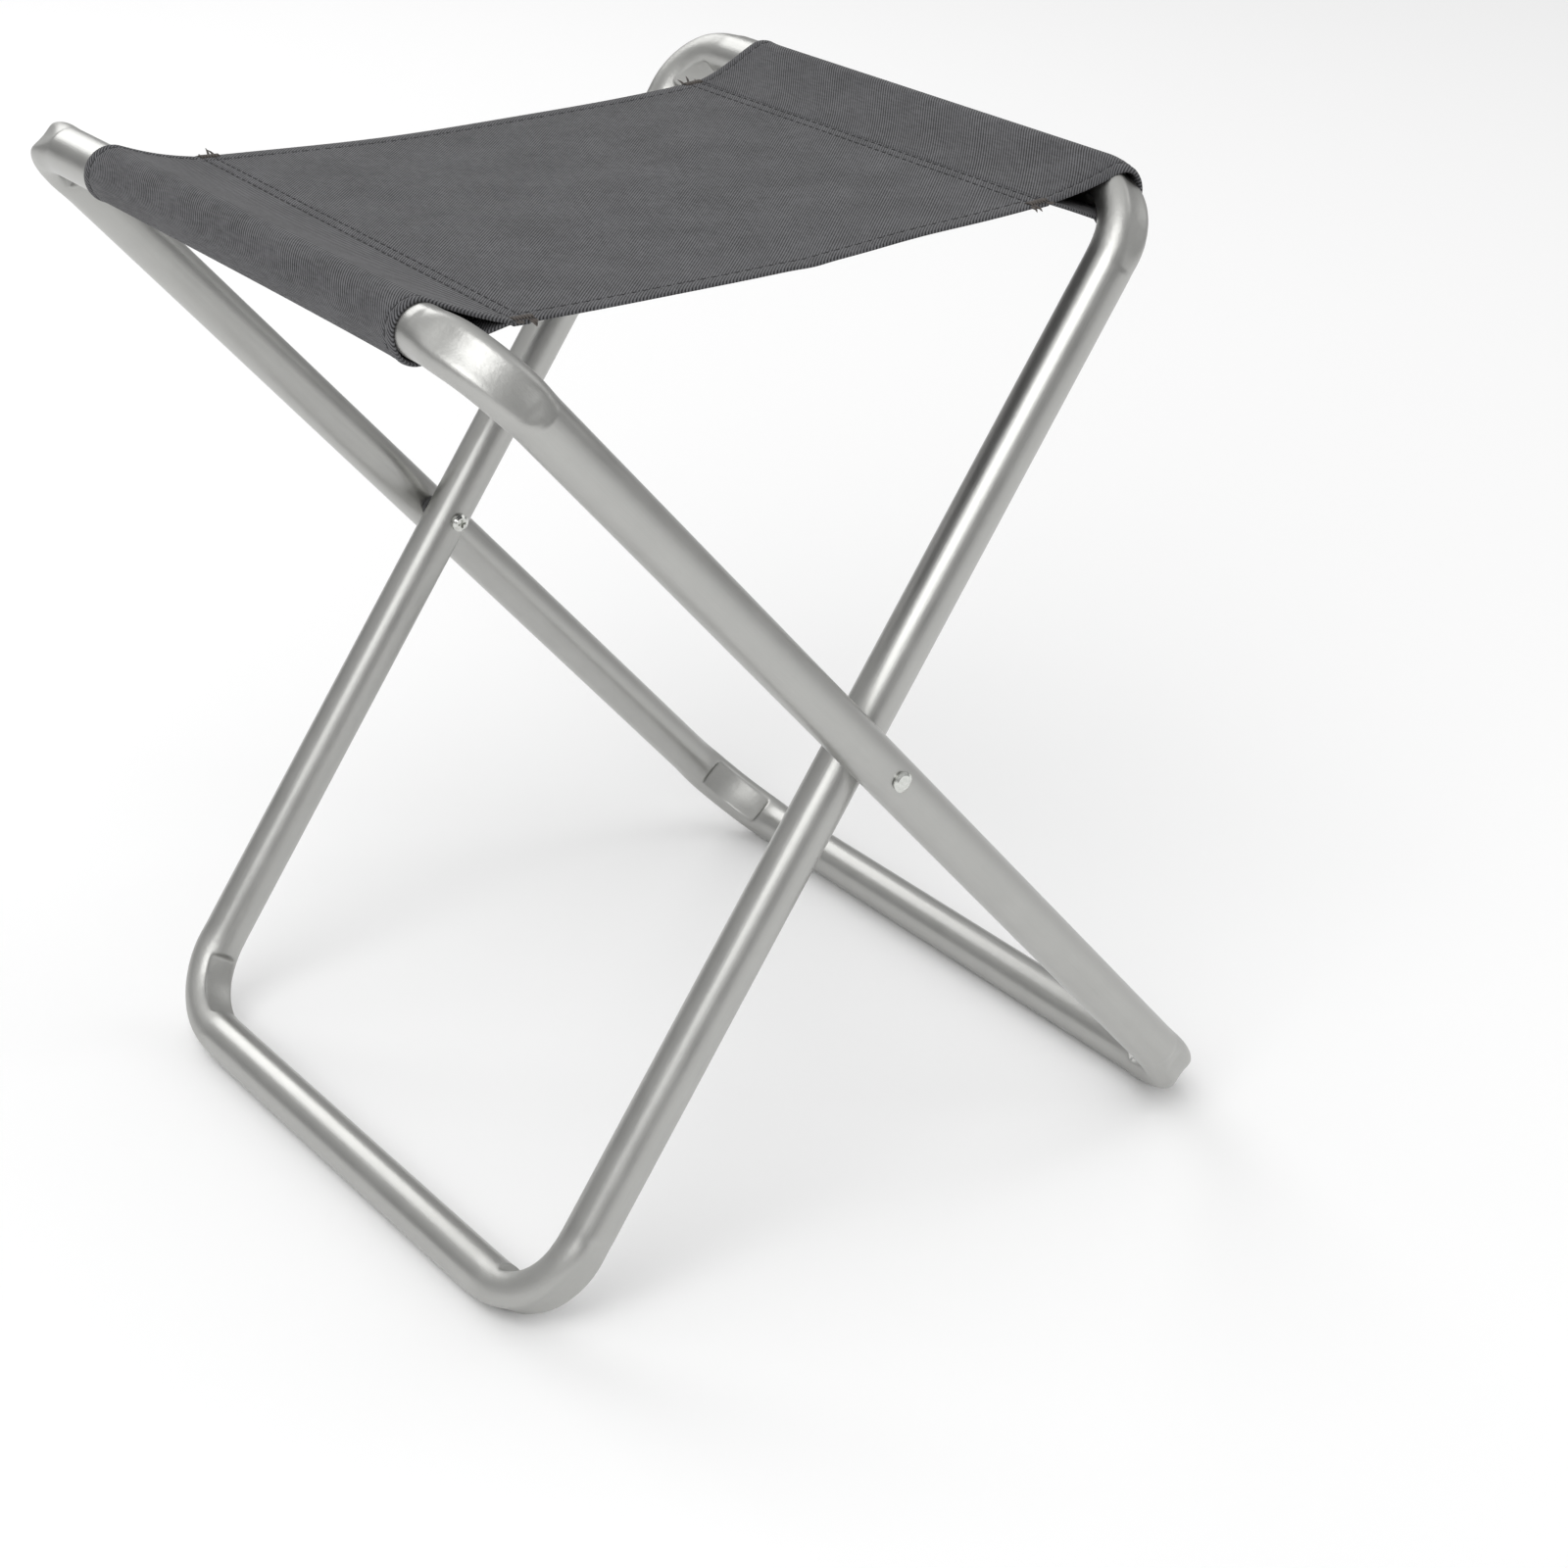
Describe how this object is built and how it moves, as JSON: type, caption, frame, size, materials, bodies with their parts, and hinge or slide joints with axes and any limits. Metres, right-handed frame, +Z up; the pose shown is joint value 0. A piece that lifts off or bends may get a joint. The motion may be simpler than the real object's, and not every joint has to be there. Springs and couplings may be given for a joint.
{
  "type": "camp_stool",
  "caption": "Folding camp stool with two crossed bent aluminium tube frames on side pivots and a grey twill cloth seat looped over the top rails",
  "frame": {"origin": "On the ground, at the centre of the bounding box of the open stool seen from above", "axes": "+X runs from the outer frame's top rail to the inner frame's top rail; +Y runs along the rails, away from the front pivot; +Z is up"},
  "size_m": [0.3755, 0.3652, 0.4288],
  "materials": {
    "frame_tube": "satin",
    "pivot_hardware": "bright zinc plate",
    "spacers": "matte",
    "seat_cloth": "coarse diagonal twill",
    "thread": "matte",
    "bar_tacks": "matte"
  },
  "bodies": {
    "outer_frame": {"outer_frame_tube": "frame_tube", "outer_joint_spigot": "frame_tube", "front_sleeve_nut": "pivot_hardware", "rear_sleeve_nut": "pivot_hardware", "front_pivot_screw": "pivot_hardware", "rear_pivot_screw": "pivot_hardware", "front_pivot_spacer": "spacers", "rear_pivot_spacer": "spacers"},
    "inner_frame": {"inner_frame_tube": "frame_tube", "inner_joint_spigot": "frame_tube"},
    "seat_loop_left": {"seat_sleeve_left": "seat_cloth", "mouth_thread_left": "thread"},
    "seat_half_left": {"seat_panel_left": "seat_cloth", "seam_thread_left": "thread", "hem_thread_left": "thread", "bar_tack_front_left": "bar_tacks", "bar_tack_rear_left": "bar_tacks"},
    "seat_half_right": {"seat_panel_right": "seat_cloth", "seam_thread_right": "thread", "hem_thread_right": "thread", "bar_tack_front_right": "bar_tacks", "bar_tack_rear_right": "bar_tacks"},
    "seat_loop_right": {"seat_sleeve_right": "seat_cloth", "mouth_thread_right": "thread"}
  },
  "joints": [
    {"name": "fold", "type": "hinge", "parent": "outer_frame", "child": "inner_frame", "pos_m": [-0.00207, 0, 0.21679], "axis": [0, -1, 0], "range_deg": [0, 76.34], "deforming": ["seat_sleeve_left", "seat_sleeve_right", "seat_panel_left", "seat_panel_right", "seam_thread_left", "seam_thread_right", "hem_thread_left", "hem_thread_right", "mouth_thread_left", "mouth_thread_right", "bar_tack_front_left", "bar_tack_rear_left", "bar_tack_front_right", "bar_tack_rear_right"]},
    {"name": "seat_left_swing", "type": "hinge", "parent": "outer_frame", "child": "seat_loop_left", "pos_m": [-0.17659, 0, 0.41754], "axis": [0, 1, 0], "range_deg": [0, 68.85]},
    {"name": "seat_left_bend", "type": "hinge", "parent": "seat_loop_left", "child": "seat_half_left", "pos_m": [-0.13873, 0, 0.4142], "axis": [0, -1, 0], "range_deg": [0, 21.85]},
    {"name": "seat_crease", "type": "hinge", "parent": "seat_half_left", "child": "seat_half_right", "pos_m": [-0.00606, 0, 0.415], "axis": [0, -1, 0], "range_deg": [0, 176.18]},
    {"name": "seat_right_swing", "type": "hinge", "parent": "inner_frame", "child": "seat_loop_right", "pos_m": [0.1379, 0, 0.4142], "axis": [0, -1, 0], "range_deg": [0, 42.51]}
  ],
  "couplings": [
    {"joint": "seat_left_swing", "follows": "fold", "ratio": 0.90193},
    {"joint": "seat_left_bend", "follows": "fold", "ratio": 0.28626},
    {"joint": "seat_crease", "follows": "fold", "ratio": 2.3078},
    {"joint": "seat_right_swing", "follows": "fold", "ratio": 0.55682}
  ]
}
